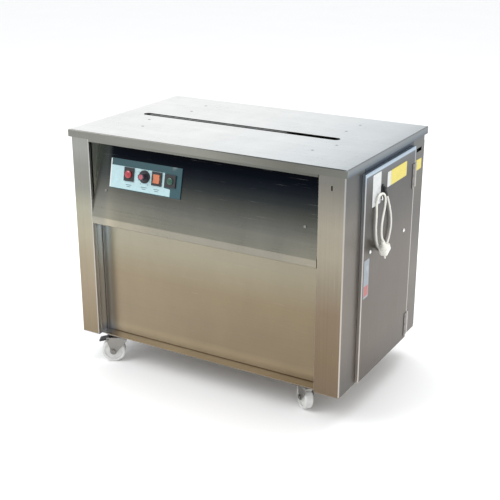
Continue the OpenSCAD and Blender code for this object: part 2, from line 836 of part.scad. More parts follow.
module caster_fork(i, brake) {
    color("silver") at_caster(i) difference() {
        union() {
            translate([0, 0, crown_z]) cylinder(d = 42, h = 6);
            translate([-18, -leg_out, crown_z]) cube([brake ? 48 : trail + 38, 2 * leg_out, 5]);
            for (k = [0, 1]) mirror([0, k, 0]) translate([0, leg_out, 0]) fork_leg();
            bar_y(-leg_out - 3, leg_out + 3, trail, axle_z, 8);
            for (k = [0, 1]) mirror([0, k, 0])
                bar_y(leg_out, leg_out + 4, trail, axle_z, 13);
        }
        translate([0, 0, crown_z - 1]) cylinder(d = 10 + 2 * run_gap, h = 10);
        if (brake) bar_y(-leg_out - 1, leg_out + 1, trail + 15, crown_z - 0.5, 4 + 2 * run_gap);
    }
}

module caster_wheel(i) {
    color("white") at_caster(i) translate([trail, 0, axle_z]) rotate([90, 0, 0]) difference() {
        union() {
            rotate_extrude() polygon([[8, -wheel_w / 2], [14, -wheel_w / 2], [14, -wheel_w / 2 + 4],
                [wheel_d / 2 - 10, -wheel_w / 2 + 4], [wheel_d / 2 - 9, -wheel_w / 2 + 0.5],
                [wheel_d / 2 - 3, -wheel_w / 2 + 0.5], [wheel_d / 2, -wheel_w / 2 + 4],
                [wheel_d / 2, wheel_w / 2 - 4], [wheel_d / 2 - 3, wheel_w / 2 - 0.5],
                [wheel_d / 2 - 9, wheel_w / 2 - 0.5], [wheel_d / 2 - 10, wheel_w / 2 - 4],
                [14, wheel_w / 2 - 4], [14, wheel_w / 2], [8, wheel_w / 2]]);
            cylinder(d = 20, h = wheel_w - 2, center = true);
        }
        cylinder(d = 8 + 2 * run_gap, h = wheel_w + 2, center = true);
    }
}

module caster_pedal(i) {
    w = wheel_w - 1;
    color([0.15, 0.15, 0.16]) at_caster(i) {
        difference() {
            translate([0, w / 2, 0]) rotate([90, 0, 0]) linear_extrude(w) union() {
                translate([trail + 15, crown_z - 0.5]) circle(r = 4);
                polygon([[trail + 16, crown_z + 3.4], [trail + 40, crown_z - 2], [trail + 44, crown_z - 7],
                         [trail + 41, crown_z - 9], [trail + 30, crown_z - 7], [trail + 17, crown_z - 3.8]]);
            }
            bar_y(-w, w, trail + 15, crown_z - 0.5, 4);
        }
        bar_y(-leg_out - 2, leg_out + 2, trail + 15, crown_z - 0.5, 4);
    }
}

// ---------- strapping head ----------

module head_beams() {
    color("dimgray")
    for (y = [-beam_y, beam_y])
        along_x(-beam_x, beam_x) translate([y, beam_top - beam_h / 2]) difference() {
            square([beam_w, beam_h], center = true);
            square([beam_w - 4, beam_h - 4], center = true);
        }
}

module head_wall_outline() {
    ear = beam_y + beam_w / 2;
    polygon([[-45, head_foot], [45, head_foot], [head_half, head_foot + 30], [head_half, beam_top],
             [ear, beam_top], [ear, beam_top + 8], [40, beam_top + 8], [36, anvil_z], [-36, anvil_z],
             [-40, beam_top + 8], [-ear, beam_top + 8], [-ear, beam_top], [-head_half, beam_top],
             [-head_half, head_foot + 30]]);
}

module head_frame() {
    color("slategray") difference() {
        union() {
            along_x(head_left, head_left + head_wall) head_wall_outline();
            along_x(head_right - head_wall, head_right) head_wall_outline();
            box([head_left + 1, -head_half, web_z], [head_right - 1, head_half, web_z + web_t]);
            box([head_mid - 22, head_half - 1, web_z + 5], [head_mid + 22, 100, web_z + web_t]);
            box([head_left + 1, -40, head_foot], [head_right - 1, 40, head_foot + 8]);
            for (k = [0, 1]) mirror([0, k, 0])
                box([head_right - 1, lug_y, feed_z - 18], [feed_x + 18, lug_y + lug_t, arm_z + 9]);
        }
        bar_x(head_left - 1, head_right + 1, 0, cam_z, cam_shaft_d + 2 * run_gap);
        for (k = [-1, 0, 1])
            translate([head_mid + k * plunger_pitch, 0, web_z + web_t / 2])
                cube([plunger_w + 2 * slide_gap, plunger_d + 2 * slide_gap, web_t + 2], center = true);
        bar_y(-40, 40, feed_x, feed_z, feed_axle_d + 2 * run_gap);
        bar_y(-40, 40, arm_x, arm_z, arm_pin_d + 2 * run_gap);
    }
}

module camshaft() {
    color("silver") {
        bar_x(gear_x - 30, head_right + 10, 0, cam_z, cam_shaft_d);
        for (k = [-1, 0, 1]) let(a = 200 + 75 * k, x = head_mid + k * plunger_pitch) {
            bar_x(x - 7, x + 7, 4 * cos(a), cam_z + 4 * sin(a), 2 * (cam_r - 4));
            bar_x(x - 12, x + 12, 0, cam_z, cam_shaft_d + 10);
        }
        bar_x(head_right + 2, head_right + 10, 0, cam_z, cam_shaft_d + 8);
    }
}

// Block that a cam lifts: a square stem with a roller shoe below and a working face on top.
module plunger(x, top) {
    translate([x, 0, 0]) {
        box([-plunger_w / 2, -plunger_d / 2, plunger_z + 8], [plunger_w / 2, plunger_d / 2, top]);
        bar_x(-7, 7, 0, plunger_z + 9, 18);
    }
}

module left_gripper() {
    x = head_mid - plunger_pitch;
    color("gray") difference() {
        plunger(x, plunger_top);
        for (k = [-6:6]) translate([x + k * 2, 0, plunger_top]) rotate([0, 45, 0])
            cube([0.8, plunger_d + 2, 0.8], center = true);
    }
}

module right_gripper() {
    x = head_mid + plunger_pitch;
    color("gray") difference() {
        plunger(x, plunger_top);
        for (k = [-6:6]) translate([x + k * 2, 0, plunger_top]) rotate([0, 45, 0])
            cube([0.8, plunger_d + 2, 0.8], center = true);
        translate([x, 0, plunger_top - 14]) cube([plunger_w + 2, 14, 3], center = true);
    }
}

module cutter_press() {
    color("dimgray") difference() {
        plunger(head_mid, plunger_top);
        translate([head_mid + plunger_w / 2 - 4, 0, plunger_top]) rotate([0, 30, 0])
            cube([6, plunger_d + 2, 3], center = true);
        box([head_mid - plunger_w, -1, plunger_top - 3], [head_mid + 4, 1, plunger_top + 1]);
    }
}

module heater_blade() {
    z0 = web_z + web_t + slide_gap;
    color("darkgoldenrod") {
        box([head_mid - 12, 22, anvil_z - 4], [head_mid + 12, 72, anvil_z - 4 + blade_t]);
        box([head_mid - 14, 66, z0], [head_mid + 14, 86, anvil_z - 2]);
        for (k = [-1, 1]) bar_y(86, 92, head_mid + k * 8, z0 + 20, 6);
    }
}

module slide_plate() {
    color("silver") difference() {
        box([head_left + 2, -30, anvil_z], [head_right - 2, 40, anvil_z + slide_t]);
        for (k = [-1, 1]) translate([head_mid + k * 55, 30, anvil_z - 1]) cylinder(d = 7, h = 20);
        box([head_left + 1, -12, anvil_z - 1], [head_right - 1, 12, anvil_z + 2]);
    }
}

// ---------- drive ----------

module drive_motor() {
    plate_top = beam_top - beam_h;
    plate_x0 = motor_x - motor_d / 2 - 8;
    plate_x1 = motor_x + motor_d / 2 + 8;
    ear = beam_y + beam_w / 2;
    color("steelblue") difference() {
        union() {
            bar_y(motor_y, motor_y + 12, motor_x, motor_z, motor_d);
            bar_y(motor_y + 12, motor_y + 130, motor_x, motor_z, motor_d - 14);
            bar_y(motor_y + 130, motor_y + motor_l, motor_x, motor_z, motor_d - 2);
            bar_y(motor_y - 4, motor_y, motor_x, motor_z, 40);
            for (a = [0:15:359]) translate([motor_x, motor_y + 12, motor_z]) rotate([-90, a, 0])
                translate([motor_d / 2 - 10, -1, 0]) cube([8, 2, 118]);
            box([motor_x - 34, motor_y + 16, motor_z + 40], [motor_x + 34, motor_y + 120, plate_top - 8]);
            box([plate_x0, -ear, plate_top - 9], [plate_x1, ear, plate_top]);
            box([motor_x - motor_d / 2 - 22, motor_y + 40, motor_z - 20],
                [motor_x - motor_d / 2 + 10, motor_y + 100, motor_z + 26]);
        }
        bar_y(motor_y - 5, motor_y + 30, motor_x, motor_z, shaft_d + 2 * run_gap);
        for (a = [0:30:359]) translate([motor_x, motor_y + motor_l, motor_z]) rotate([90, a, 0])
            translate([20, -2, -1]) cube([28, 4, 4]);
    }
}

module gearbox() {
    color("steelblue") difference() {
        union() {
            box([gear_x - 38, -gear_half, cam_z - 36], [gear_x + 38, gear_half, gear_z + 32]);
            bar_x(gear_x + 30, head_left, 0, cam_z, 64);
            bar_x(gear_x - 42, gear_x - 38, 0, cam_z, 56);
            bar_y(-gear_half - 5, -gear_half, gear_x, gear_z, 50);
            for (z = [cam_z - 24:12:gear_z + 22])
                box([gear_x - 30, gear_half - 1, z], [gear_x + 30, gear_half + 4, z + 4]);
        }
        bar_x(gear_x - 32, head_left + 1, 0, cam_z, cam_shaft_d + 2 * run_gap);
        bar_y(-gear_half - 6, -18, gear_x, gear_z, shaft_d + 2 * run_gap);
    }
}

groove = 4;

module pulley(x, z, d, back) {
    translate([x, belt_y, z]) rotate([90, 0, 0]) difference() {
        union() {
            rotate_extrude() polygon([[0, -7], [d / 2, -7], [d / 2, -belt_w / 2 - 0.6],
                [d / 2 - groove, -belt_w / 2 - 0.4], [d / 2 - groove, belt_w / 2 + 0.4],
                [d / 2, belt_w / 2 + 0.6], [d / 2, 7], [0, 7]]);
            cylinder(d = shaft_d + 12, h = 12);
            translate([0, 0, belt_y - back]) cylinder(d = shaft_d, h = 20 + back - belt_y);
        }
        if (d > 70) for (a = [0:60:359]) rotate(a) translate([d * 0.28, 0, -10]) cylinder(d = d * 0.17, h = 20);
    }
}

module motor_pulley() {
    color("gray") pulley(motor_x, motor_z, small_pulley_d, motor_y + 25);
}

module gearbox_pulley() {
    color("gray") pulley(gear_x, gear_z, large_pulley_d, -22);
}

module belt_loop(extra) {
    hull() {
        translate([motor_x, motor_z]) circle(r = small_pulley_d / 2 - groove + extra);
        translate([gear_x, gear_z]) circle(r = large_pulley_d / 2 - groove + extra);
    }
}

module drive_belt() {
    color([0.1, 0.1, 0.1]) along_y(belt_y - belt_w / 2, belt_y + belt_w / 2) difference() {
        belt_loop(belt_t);
        belt_loop(slide_gap);
    }
}

module electrical_box() {
    low = [-side_x + 50, 0, floor_z];
    size = [150, 170, 190];
    color("darkgray") translate(low) {
        difference() {
            union() {
                cube(size);
                for (y = [20, size[1] - 45]) translate([-8, y, 0]) cube([size[0] + 16, 25, 3]);
                translate([1, -2, 1]) cube([size[0] - 2, 2, size[2] - 2]);
            }
            translate([2, 0, 2]) cube(size - [4, 2, 4]);
            for (z = [110:12:170]) translate([25, -4, z]) cube([size[0] - 50, 8, 4]);
        }
        for (x = [30, 60, 90]) translate([x, 25, size[2]]) cylinder(d = 18, h = 10);
        translate([25, 30, 2]) cube([100, 90, 80]);
    }
}

// ---------- feed rollers ----------

module feed_roller() {
    color([0.2, 0.2, 0.2]) {
        bar_y(-8, 8, feed_x, feed_z, feed_d);
        bar_y(-18, 18, feed_x, feed_z, feed_axle_d + 8);
        bar_y(-38, 32, feed_x, feed_z, feed_axle_d);
    }
}

module pinch_arm() {
    dx = feed_x - arm_x;
    dz = pinch_z - arm_z;
    l = norm([dx, dz]);
    color("gray") difference() {
        union() {
            for (y = [-15, 11]) along_y(y, y + 4) translate([arm_x, arm_z]) rotate(atan2(dz, dx)) {
                circle(r = 8);
                translate([0, -8]) square([l, 16]);
                translate([l, 0]) circle(r = 8);
            }
            bar_y(-19, 19, arm_x, arm_z, 14);
            bar_y(-29, 29, arm_x, arm_z, arm_pin_d);
        }
        bar_y(-20, 20, feed_x, pinch_z, 8 + 2 * run_gap);
    }
}

module pinch_roller() {
    color([0.2, 0.2, 0.2]) {
        bar_y(-8, 8, feed_x, pinch_z, pinch_d);
        bar_y(-10.5, 10.5, feed_x, pinch_z, 14);
        bar_y(-17, 17, feed_x, pinch_z, 8);
    }
}

// ---------- reel ----------

bracket_foot = 135;

module reel_brackets() {
    color("dimgray") for (k = [0, 1]) mirror([0, k, 0]) difference() {
        union() {
            along_y(bracket_y, bracket_y + bracket_t)
                polygon([[reel_x - bracket_foot, floor_z], [reel_x + bracket_foot, floor_z],
                         [reel_x + 32, reel_z + 30], [reel_x - 32, reel_z + 30]]);
            box([reel_x - bracket_foot, bracket_y, floor_z],
                [reel_x + bracket_foot, bracket_y + 28, floor_z + bracket_t]);
        }
        bar_y(bracket_y - 1, bracket_y + 10, reel_x, reel_z, spindle_d);
        if (k == 0) bar_y(bracket_y - 1, bracket_y + 10, brake_pivot[0], brake_pivot[1],
                          brake_pin_d + 2 * run_gap);
    }
}

module reel_spindle() {
    color("silver") {
        bar_y(-bracket_y - 14, bracket_y + 14, reel_x, reel_z, spindle_d);
        bar_y(flange_y + 0.6, bracket_y, reel_x, reel_z, spindle_d + 14);
        bar_y(-bracket_y, -flange_y - 4.6, reel_x, reel_z, spindle_d + 14);
        for (k = [0, 1]) mirror([0, k, 0])
            bar_y(bracket_y + bracket_t, bracket_y + bracket_t + 6, reel_x, reel_z, spindle_d + 10);
    }
}

module flange(y0) {
    bar_y(y0, y0 + flange_t, reel_x, reel_z, reel_d);
}

module flange_holes(y0) {
    for (a = [0:60:359])
        translate([reel_x, 0, reel_z]) rotate([0, a, 0]) translate([reel_d * 0.37, 0, 0])
            bar_y(y0 - 1, y0 + flange_t + 1, 0, 0, reel_d * 0.15);
}

module reel() {
    w = reel_w / 2;
    color("lightsteelblue") difference() {
        union() {
            flange(w);
            translate([reel_x, 0, reel_z]) rotate([-90, 0, 0]) rotate_extrude()
                polygon([[5, -w], [spindle_d / 2 + 8, -w], [spindle_d / 2 + 8, w - 6],
                         [drum_d / 2 - 3, w - 6], [drum_d / 2 - 3, -w], [drum_d / 2, -w],
                         [drum_d / 2, w + 1], [5, w + 1]]);
        }
        flange_holes(w);
        bar_y(-w - 5, w + flange_t + 1, reel_x, reel_z, spindle_d + 2 * run_gap);
    }
}

module reel_front_flange() {
    w = reel_w / 2;
    color("lightsteelblue") difference() {
        union() {
            flange(-flange_y);
            bar_y(-flange_y - 4, -w, reel_x, reel_z, spindle_d + 44);
            for (a = [30:120:359]) translate([reel_x, -flange_y, reel_z]) rotate([90, a, 0])
                translate([drum_d * 0.34, 0, 0]) cylinder(d = 14, h = 8, $fn = 6);
        }
        flange_holes(-flange_y);
        bar_y(-flange_y - 6, -w + 1, reel_x, reel_z, spindle_d + 2 * run_gap);
    }
}

module reel_brake() {
    r = reel_d / 2 + 10;
    pad = [reel_x + r * cos(215), reel_z + r * sin(215)];
    reach = pad - brake_pivot;
    l = norm(reach);
    color("gray") {
        along_y(flange_y + 4, flange_y + 8) translate(brake_pivot) rotate(atan2(reach[1], reach[0])) {
            circle(r = 10);
            translate([0, -7]) square([l + 4, 14]);
        }
        along_y(reel_w / 2 - 6, flange_y + 5) translate(pad) rotate(35)
            translate([-6, -14]) square([12, 28]);
        bar_y(flange_y + 5, bracket_y + bracket_t + 5, brake_pivot[0], brake_pivot[1], brake_pin_d);
        bar_y(bracket_y + bracket_t + 1, bracket_y + bracket_t + 5, brake_pivot[0], brake_pivot[1],
              brake_pin_d + 8);
    }
}

// ---------- nodes ----------

base_pan();
base_rails();
front_left_post();
front_right_post();
rear_left_post();
rear_right_post();
top_rails();
table_top();
strap_channel();
control_panel();
lower_front_panel();
left_side_panel();
rear_panel();
screws();
control_plate();
switch_bodies();
reel_brackets();
reel_spindle();
head_beams();
head_frame();
drive_motor();
gearbox();
drive_belt();
electrical_box();
door_fittings();
caster_plates();
hinge_post_leaves();
door_panel();
hinge_door_leaves();
cord_outlet();
power_cord();
plug();
red_button();
length_knob();
power_rocker();
green_button();
camshaft();
motor_pulley();
gearbox_pulley();
left_gripper();
right_gripper();
cutter_press();
heater_blade();
slide_plate();
feed_roller();
pinch_arm();
pinch_roller();
reel();
reel_front_flange();
reel_brake();
caster_fork(0, true);  // caster_fork_front_left
caster_fork(1, true);  // caster_fork_front_right
caster_fork(2, false);  // caster_fork_rear_left
caster_fork(3, false);  // caster_fork_rear_right
caster_wheel(0);  // caster_wheel_front_left
caster_wheel(1);  // caster_wheel_front_right
caster_wheel(2);  // caster_wheel_rear_left
caster_wheel(3);  // caster_wheel_rear_right
caster_pedal(0);  // caster_pedal_front_left
caster_pedal(1);  // caster_pedal_front_right
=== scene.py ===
"""Looks of the semi-automatic strapping machine: camera, mains lead, labels, film and materials.

Everything is in metres in the machine's own frame: +X to its right side, +Y to its back, +Z up.
"""

import math

import bmesh
import bpy
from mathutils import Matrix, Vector


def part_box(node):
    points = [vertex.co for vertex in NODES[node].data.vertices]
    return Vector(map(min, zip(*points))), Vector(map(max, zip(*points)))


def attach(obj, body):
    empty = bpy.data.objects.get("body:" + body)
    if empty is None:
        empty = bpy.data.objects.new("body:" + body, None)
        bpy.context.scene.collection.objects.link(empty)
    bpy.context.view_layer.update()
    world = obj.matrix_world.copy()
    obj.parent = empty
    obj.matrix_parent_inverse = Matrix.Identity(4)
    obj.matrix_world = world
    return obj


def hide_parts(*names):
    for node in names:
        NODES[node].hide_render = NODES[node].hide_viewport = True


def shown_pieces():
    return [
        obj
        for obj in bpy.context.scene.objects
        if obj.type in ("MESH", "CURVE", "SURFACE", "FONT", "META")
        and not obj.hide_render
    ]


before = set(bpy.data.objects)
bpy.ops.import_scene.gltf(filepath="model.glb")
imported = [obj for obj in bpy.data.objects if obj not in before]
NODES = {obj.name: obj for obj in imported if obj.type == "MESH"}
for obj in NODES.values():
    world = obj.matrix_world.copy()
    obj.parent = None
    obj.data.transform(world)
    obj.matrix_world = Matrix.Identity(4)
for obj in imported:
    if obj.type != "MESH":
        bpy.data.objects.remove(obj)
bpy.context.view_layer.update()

# ---------------------------------------------------------------- camera

camera = bpy.data.objects.new("camera", bpy.data.cameras.new("camera"))
bpy.context.scene.collection.objects.link(camera)
camera.location = (1.437, -2.469, 1.417)
camera.rotation_euler = (math.radians(69.69), 0, math.radians(30.15))
camera.data.lens = 71.16
camera.data.sensor_width = 36
bpy.context.scene.camera = camera

# ---------------------------------------------------------------- mains lead

CORD_D = 0.006
CORD_ROUTE = [
    (0.461, -0.042, 0.619), (0.461, -0.035, 0.608), (0.461, -0.028, 0.596), (0.461, -0.021, 0.584),
    (0.461, -0.015, 0.571), (0.461, -0.009, 0.558), (0.461, -0.005, 0.544), (0.461, -0.003, 0.530),
    (0.461, -0.004, 0.516), (0.461, -0.008, 0.502), (0.461, -0.014, 0.489), (0.461, -0.022, 0.477),
    (0.461, -0.033, 0.468), (0.461, -0.046, 0.463), (0.461, -0.060, 0.464), (0.461, -0.073, 0.470),
    (0.461, -0.084, 0.479), (0.461, -0.093, 0.490), (0.461, -0.100, 0.503), (0.461, -0.105, 0.516),
    (0.461, -0.108, 0.530), (0.461, -0.110, 0.545), (0.461, -0.110, 0.563), (0.461, -0.110, 0.582),
    (0.461, -0.111, 0.600), (0.461, -0.111, 0.613), (0.462, -0.108, 0.625), (0.463, -0.100, 0.633),
    (0.465, -0.089, 0.636), (0.466, -0.078, 0.633), (0.467, -0.070, 0.625), (0.468, -0.068, 0.613),
    (0.4695, -0.073, 0.600), (0.471, -0.081, 0.588), (0.4725, -0.090, 0.577), (0.474, -0.098, 0.565),
    (0.4755, -0.105, 0.552), (0.477, -0.109, 0.538), (0.4785, -0.109, 0.523), (0.480, -0.104, 0.510)]


def make_lead():
    """The mains lead, from its outlet over its hook to the plug, in place of the plain one."""
    curve = bpy.data.curves.new("power_lead", "CURVE")
    curve.dimensions = "3D"
    curve.bevel_depth = CORD_D / 2
    curve.bevel_resolution = 4
    curve.resolution_u = 4
    curve.use_fill_caps = True
    spline = curve.splines.new("BEZIER")
    spline.bezier_points.add(len(CORD_ROUTE) - 1)
    for point, at in zip(spline.bezier_points, CORD_ROUTE):
        point.co = at
        point.handle_left_type = point.handle_right_type = "AUTO"
    lead = bpy.data.objects.new("power_lead", curve)
    bpy.context.scene.collection.objects.link(lead)
    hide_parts("power_cord")
    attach(lead, "door")
    return lead


lead = make_lead()

# ---------------------------------------------------------------- material helpers


X, Y, Z = 0, 1, 2    # axis numbers


class Shader:
    """One node material: a Principled shader fed by object-space patterns."""

    def __init__(self, name, rough=0.5, metal=0.0, **sockets):
        self.mat = bpy.data.materials.new(name)
        self.mat.use_nodes = True
        self.nodes = self.mat.node_tree.nodes
        self.links = self.mat.node_tree.links
        self.bsdf = self.nodes["Principled BSDF"]
        self.bsdf.inputs["Metallic"].default_value = metal
        self.bsdf.inputs["Roughness"].default_value = rough
        for socket, value in sockets.items():
            self.bsdf.inputs[socket.replace("_", " ")].default_value = value
        self.coords = self.nodes.new("ShaderNodeTexCoord").outputs["Object"]

    def set(self, socket, source):
        self.links.new(source, self.bsdf.inputs[socket])

    def mapped(self, stretch, offset=(0, 0, 0)):
        node = self.nodes.new("ShaderNodeMapping")
        node.inputs["Scale"].default_value = stretch
        node.inputs["Location"].default_value = offset
        self.links.new(self.coords, node.inputs["Vector"])
        return node.outputs["Vector"]

    def noise(self, scale, stretch=(1, 1, 1), detail=4.0, rough=0.55, offset=(0, 0, 0), warp=0.0):
        node = self.nodes.new("ShaderNodeTexNoise")
        node.inputs["Scale"].default_value = scale
        node.inputs["Detail"].default_value = detail
        node.inputs["Roughness"].default_value = rough
        node.inputs["Distortion"].default_value = warp
        self.links.new(self.mapped(stretch, offset), node.inputs["Vector"])
        return node.outputs["Fac"]

    def ramp(self, fac, *stops):
        node = self.nodes.new("ShaderNodeValToRGB")
        elements = node.color_ramp.elements
        while len(elements) < len(stops):
            elements.new(0.5)
        for element, (at, colour) in zip(elements, stops):
            element.position = at
            element.color = (*colour, 1) if hasattr(colour, "__len__") else (colour, colour, colour, 1)
        self.links.new(fac, node.inputs["Fac"])
        return node.outputs["Color"]

    def mix(self, fac, a, b, how="MIX"):
        node = self.nodes.new("ShaderNodeMix")
        node.data_type = "RGBA"
        node.blend_type = how
        sockets = {s.identifier: s for s in node.inputs}
        for key, value in (("Factor_Float", fac), ("A_Color", a), ("B_Color", b)):
            if isinstance(value, bpy.types.NodeSocket):
                self.links.new(value, sockets[key])
            elif key == "Factor_Float":
                sockets[key].default_value = value
            else:
                sockets[key].default_value = (*value, 1)
        return next(s for s in node.outputs if s.identifier == "Result_Color")

    def math(self, how, a, b):
        node = self.nodes.new("ShaderNodeMath")
        node.operation = how
        for socket, value in zip(node.inputs, (a, b)):
            if isinstance(value, bpy.types.NodeSocket):
                self.links.new(value, socket)
            else:
                socket.default_value = value
        return node.outputs[0]

    def bump(self, height, strength, distance):
        node = self.nodes.new("ShaderNodeBump")
        node.inputs["Strength"].default_value = strength
        node.inputs["Distance"].default_value = distance
        self.links.new(height, node.inputs["Height"])
        self.set("Normal", node.outputs["Normal"])


# The sloping fascia: its fold, the way up it and the way out of it.
FASCIA_RISE, FASCIA_LEAN = 0.227, 0.049
slope = math.atan2(FASCIA_LEAN, FASCIA_RISE)
UP = Vector((0, math.sin(slope), math.cos(slope)))
OUT = Vector((0, -math.cos(slope), math.sin(slope)))
FOOT = Vector((0, -0.277, 0.486))
DIAL = (-0.203, 0.143)    # middle of the length dial: across the machine, and up the slope

# Noise scales that stretch a pattern along the way the sheet was brushed.
GRAIN = {"x": (1.5, 260, 260), "y": (260, 1.5, 260), "z": (260, 260, 1.5)}
GAIN = 1.30    # how much brighter than its base colour the steel shows under the studio light


def tone(r, g, b):
    """Base colour that shows as about this display tone, 0 to 255, under the studio light."""
    return tuple(((v / 255) ** 2.2) / GAIN for v in (r, g, b))


class Sheet(Shader):
    """A shader whose colour can run along an axis of the machine and differ by the way a face looks; the
    steel uses this to paint light and shade into its colour.
    """

    def facing(self):
        """How far the surface looks along x, y and z, either way, and then along z upward only."""
        node = self.nodes.new("ShaderNodeTexCoord")
        split = self.nodes.new("ShaderNodeSeparateXYZ")
        self.links.new(node.outputs["Normal"], split.inputs[0])
        return [self.math("ABSOLUTE", split.outputs[k], 0.0) for k in range(3)] + [split.outputs[2]]

    def step(self, value, low, high):
        """0 below low and 1 above high, with a soft change between."""
        node = self.nodes.new("ShaderNodeMapRange")
        node.interpolation_type = "SMOOTHSTEP"
        node.inputs["From Min"].default_value = low
        node.inputs["From Max"].default_value = high
        self.links.new(value, node.inputs["Value"])
        return node.outputs["Result"]

    def near(self, axis, place, width):
        """1 within a width of a place on an axis, and 0 further off."""
        split = self.nodes.new("ShaderNodeSeparateXYZ")
        self.links.new(self.coords, split.inputs[0])
        off = self.math("ABSOLUTE", self.math("SUBTRACT", split.outputs[axis], place), 0.0)
        return self.math("SUBTRACT", 1.0, self.step(off, width * 0.7, width))

    def run(self, axis, stops):
        """Colours at places along an axis, in metres."""
        low, high = stops[0][0], stops[-1][0]
        split = self.nodes.new("ShaderNodeSeparateXYZ")
        self.links.new(self.coords, split.inputs[0])
        node = self.nodes.new("ShaderNodeMapRange")
        node.inputs["From Min"].default_value = low
        node.inputs["From Max"].default_value = high
        self.links.new(split.outputs[axis], node.inputs["Value"])
        return self.ramp(node.outputs["Result"], *[((at - low) / (high - low), c) for at, c in stops])


def sheet_metal(name, front, side=None, top=None, bend=None, grain="x", rough=0.32, shade=None, edges=(),
                streak=0.12, cloud=0.08):
    """Brushed steel with painted light and shade: front, side, top and bend are (axis, stops), and shade
    is a factor over them.

    edges lists borders in the bend's colour, painted highlight lines and in places painted shadow lines,
    as (axis, place, width, axis that the face looks along).
    """
    s = Sheet(name, metal=1.0)
    ax, ay, az, nz = s.facing()
    # The front stops are display tones: the steel's tone with painted reflections and painted shade laid
    # along the machine.
    colour = s.run(*front)
    # Faces that look along x take their own tones, lighter than the front on some parts and darker on
    # others: painted light and shade.
    if side:
        colour = s.mix(s.step(ax, 0.45, 0.8), colour, s.run(*side))
    # Faces that look up take their own tones: painted light on the tops.
    if top:
        colour = s.mix(s.step(nz, 0.5, 0.85), colour, s.run(*top))
    # A factor along one axis that brightens or darkens places: painted light and painted shade.
    if shade:
        colour = s.mix(1.0, colour, s.run(*shade), "MULTIPLY")
    # Folds, whose faces look between the axes, take the bend tones: a painted highlight along the folds,
    # and painted shade where the bend tones are darker.
    if bend:
        flat = s.math("MAXIMUM", s.math("MAXIMUM", ax, ay), az)
        colour = s.mix(s.step(s.math("SUBTRACT", 1.0, flat), 0.04, 0.2), colour, s.run(*bend))
        # Lines in the bend tones at given places: painted highlight lines, and in places painted shadow
        # lines.
        for axis, place, width, look in edges:
            line = s.math("MULTIPLY", s.near(axis, place, width), s.step((ax, ay, az)[look], 0.6, 0.9))
            colour = s.mix(line, colour, s.run(*bend))
    streaks = s.noise(1.0, GRAIN[grain], detail=3)
    finer = tuple(4 * g if g > 2 else 5 * g for g in GRAIN[grain])
    scratches = s.noise(1.0, finer, detail=2, offset=(7, 2, 5))
    clouds = s.noise(3.2, detail=5, rough=0.6, warp=0.4)
    smears = s.noise(9.0, (1, 1, 0.35), detail=6, rough=0.7, offset=(3, 1, 2))
    colour = s.mix(1.0, colour, s.ramp(streaks, (0.3, 1 - streak), (0.7, 1.0)), "MULTIPLY")
    colour = s.mix(1.0, colour, s.ramp(clouds, (0.3, 1 - cloud), (0.7, 1.0 + cloud * 0.4)), "MULTIPLY")
    colour = s.mix(1.0, colour, s.ramp(smears, (0.35, 0.94), (0.65, 1.0)), "MULTIPLY")
    colour = s.mix(s.ramp(scratches, (0.70, 0.0), (0.76, 0.25)), colour, (0.75, 0.74, 0.72))
    s.set("Base Color", colour)
    rough_map = s.math("ADD", s.math("MULTIPLY", streaks, 0.16), s.math("MULTIPLY", smears, 0.14))
    s.set("Roughness", s.math("ADD", rough_map, rough - 0.15))
    s.bump(streaks, 0.10, 0.0004)
    return s.mat


def zrun(*stops):
    """Display tones at heights."""
    return (Z, [(at, tone(*c)) for at, c in stops])


def xrun(*stops):
    """Display tones at places across the machine."""
    return (X, [(at, tone(*c)) for at, c in stops])


def galvanised(name):
    """Zinc-dipped sheet: spangle under dust."""
    grey = 0.5
    s = Shader(name, metal=0.85)
    flakes = s.nodes.new("ShaderNodeTexVoronoi")
    flakes.inputs["Scale"].default_value = 90
    s.links.new(s.coords, flakes.inputs["Vector"])
    spangle = s.ramp(flakes.outputs["Color"], (0.2, (grey * 0.85,) * 3), (0.8, (grey * 1.15,) * 3))
    dust = s.noise(14, detail=6)
    dirt = (grey * 0.6, grey * 0.58, grey * 0.54)
    s.set("Base Color", s.mix(s.ramp(dust, (0.45, 0.0), (0.75, 0.5)), spangle, dirt))
    s.set("Roughness", s.ramp(dust, (0.3, 0.35), (0.7, 0.55)))
    s.bump(dust, 0.1, 0.0003)
    return s.mat


def machined(name, grey, rough=0.3, tint=(1, 1, 1), grime=0.5):
    """Turned or ground steel with oily patches."""
    s = Shader(name, metal=1.0)
    fine = s.noise(900, (1, 1, 1), detail=2)
    oil = s.noise(25, detail=6, rough=0.65)
    base = tuple(grey * c for c in tint)
    worn = tuple(grey * 0.45 * c for c in tint)
    s.set("Base Color", s.mix(s.ramp(oil, (0.48, 0.0), (0.78, grime)), base, worn))
    sheen = s.math("ADD", s.math("MULTIPLY", oil, 0.25), rough - 0.18)
    s.set("Roughness", s.math("ADD", s.math("MULTIPLY", fine, 0.12), sheen))
    s.bump(fine, 0.08, 0.0002)
    return s.mat


def plastic(name, colour, rough, grain=1400, coat=0.0):
    """Moulded plastic: fine spark-eroded texture, faint flow clouds and handling shine."""
    s = Shader(name, Coat_Weight=coat, Coat_Roughness=0.12)
    fine = s.noise(grain, detail=2)
    cloud = s.noise(30, detail=5)
    dim = tuple(c * 0.82 for c in colour)
    s.set("Base Color", s.mix(s.ramp(cloud, (0.35, 0.0), (0.7, 1.0)), dim, colour))
    s.set("Roughness", s.math("ADD", s.math("MULTIPLY", cloud, 0.22), rough - 0.11))
    s.bump(fine, 0.3, 0.00015)
    return s.mat


